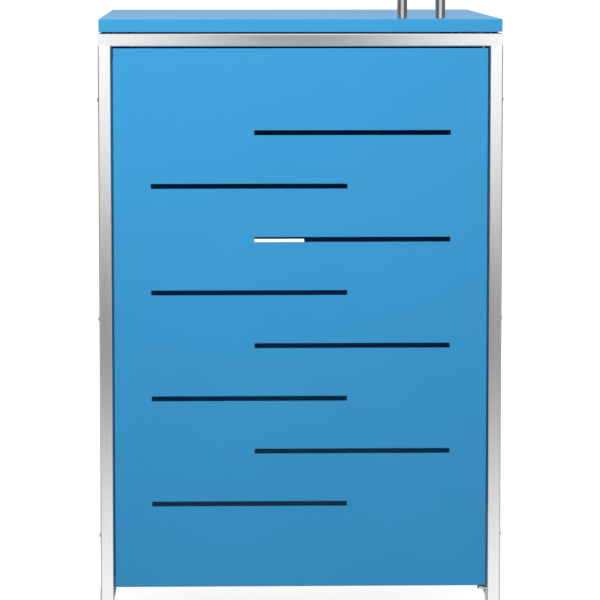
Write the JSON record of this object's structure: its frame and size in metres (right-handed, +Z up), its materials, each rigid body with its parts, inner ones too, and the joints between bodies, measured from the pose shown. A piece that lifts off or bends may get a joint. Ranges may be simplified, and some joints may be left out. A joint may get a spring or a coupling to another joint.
{
  "type": "wheeled bin store",
  "caption": "Free-standing store for one wheeled bin: welded square-tube frame, slotted sheet panels, flush front door on pivots, and a hinged lid with bow handle and gas struts.",
  "frame": {"origin": "on the floor, under the middle of the whole object's box", "axes": "+Z up, +X to the right seen from the front, +Y to the back; the door faces -Y"},
  "size_m": [0.6948, 0.775, 1.181],
  "materials": {
    "stainless_tube": "brushed and polished stainless steel",
    "blue_powder_coat": "satin powder coat, sky blue",
    "chrome_plate": "mirror chrome",
    "strut_chrome": "hard chrome, ground",
    "black_enamel": "semi-gloss black",
    "black_plastic": "moulded, fine texture",
    "black_nylon": "moulded nylon, natural sheen",
    "black_rubber": "moulded rubber",
    "magnet": "sintered, ground face",
    "stainless_hardware": "plain stainless steel",
    "zinc_plate": "bright zinc plate"
  },
  "bodies": {
    "frame": {"bottom_rail_left": "stainless_tube", "bottom_rail_rear": "stainless_tube", "bottom_rail_right": "stainless_tube", "catch_body": "black_plastic", "catch_magnet": "magnet", "catch_screws": "zinc_plate", "clinch_nuts": "zinc_plate", "door_stop_angle": "blue_powder_coat", "door_stop_pads": "black_rubber", "foot_caps": "black_plastic", "hex_nuts": "zinc_plate", "hinge_frame_leaf_left": "stainless_hardware", "hinge_frame_leaf_right": "stainless_hardware", "hinge_pin_left": "stainless_hardware", "hinge_pin_right": "stainless_hardware", "hinge_rivets_frame": "stainless_hardware", "lid_bumpers": "black_rubber", "pivot_bracket_lower": "zinc_plate", "pivot_pin_lower": "zinc_plate", "pivot_pin_upper": "zinc_plate", "pivot_washer": "zinc_plate", "post_front_left": "stainless_tube", "post_front_right": "stainless_tube", "post_rear_left": "stainless_tube", "post_rear_right": "stainless_tube", "rear_panel": "blue_powder_coat", "side_bolts": "stainless_hardware", "side_panel_left": "blue_powder_coat", "side_panel_right": "blue_powder_coat", "strut_bracket_lower_left": "zinc_plate", "strut_bracket_lower_right": "zinc_plate", "strut_bracket_rivets": "zinc_plate", "top_rail_front": "stainless_tube", "top_rail_left": "stainless_tube", "top_rail_rear": "stainless_tube", "top_rail_right": "stainless_tube"},
    "door": {"door_bush_lower": "black_nylon", "door_bush_upper": "black_nylon", "door_panel": "blue_powder_coat", "door_stiffeners": "blue_powder_coat", "strike_plate": "zinc_plate"},
    "lid": {"handle_screws": "stainless_hardware", "hinge_lid_leaf_left": "stainless_hardware", "hinge_lid_leaf_right": "stainless_hardware", "hinge_rivets_lid": "stainless_hardware", "lid_handle": "chrome_plate", "lid_panel": "blue_powder_coat", "lid_stiffeners": "blue_powder_coat", "strut_bracket_upper_left": "zinc_plate", "strut_bracket_upper_right": "zinc_plate"},
    "strut_cylinder_left": {"strut_eye_lower_left": "black_plastic", "strut_tube_left": "black_enamel"},
    "strut_piston_rod_left": {"strut_eye_upper_left": "black_plastic", "strut_piston_left": "black_plastic", "strut_rod_left": "strut_chrome"},
    "strut_cylinder_right": {"strut_eye_lower_right": "black_plastic", "strut_tube_right": "black_enamel"},
    "strut_piston_rod_right": {"strut_eye_upper_right": "black_plastic", "strut_piston_right": "black_plastic", "strut_rod_right": "strut_chrome"}
  },
  "joints": [
    {"name": "door_hinge", "type": "hinge", "parent": "frame", "child": "door", "pos_m": [0.3115, -0.382, 0.611], "axis": [0, 0, 1], "range_deg": [0, 120]},
    {"name": "lid_hinge", "type": "hinge", "parent": "frame", "child": "lid", "pos_m": [0, 0.3825, 1.10175], "axis": [-1, 0, 0], "range_deg": [0, 75]},
    {"name": "strut_cylinder_pivot_left", "type": "hinge", "parent": "frame", "child": "strut_cylinder_left", "pos_m": [-0.305, 0.3207, 0.91154], "axis": [-1, 0, 0], "range_deg": [0, 37.5]},
    {"name": "strut_rod_pivot_left", "type": "hinge", "parent": "lid", "child": "strut_piston_rod_left", "pos_m": [-0.305, 0.18299, 1.0878], "axis": [-1, 0, 0], "range_deg": [-37.5, 0]},
    {"name": "strut_cylinder_pivot_right", "type": "hinge", "parent": "frame", "child": "strut_cylinder_right", "pos_m": [0.305, 0.3207, 0.91154], "axis": [-1, 0, 0], "range_deg": [0, 37.5]},
    {"name": "strut_rod_pivot_right", "type": "hinge", "parent": "lid", "child": "strut_piston_rod_right", "pos_m": [0.305, 0.18299, 1.0878], "axis": [-1, 0, 0], "range_deg": [-37.5, 0]}
  ],
  "couplings": [
    {"joint": "strut_cylinder_pivot_left", "follows": "lid_hinge", "ratio": 0.5},
    {"joint": "strut_rod_pivot_left", "follows": "lid_hinge", "ratio": -0.5},
    {"joint": "strut_cylinder_pivot_right", "follows": "lid_hinge", "ratio": 0.5},
    {"joint": "strut_rod_pivot_right", "follows": "lid_hinge", "ratio": -0.5}
  ]
}
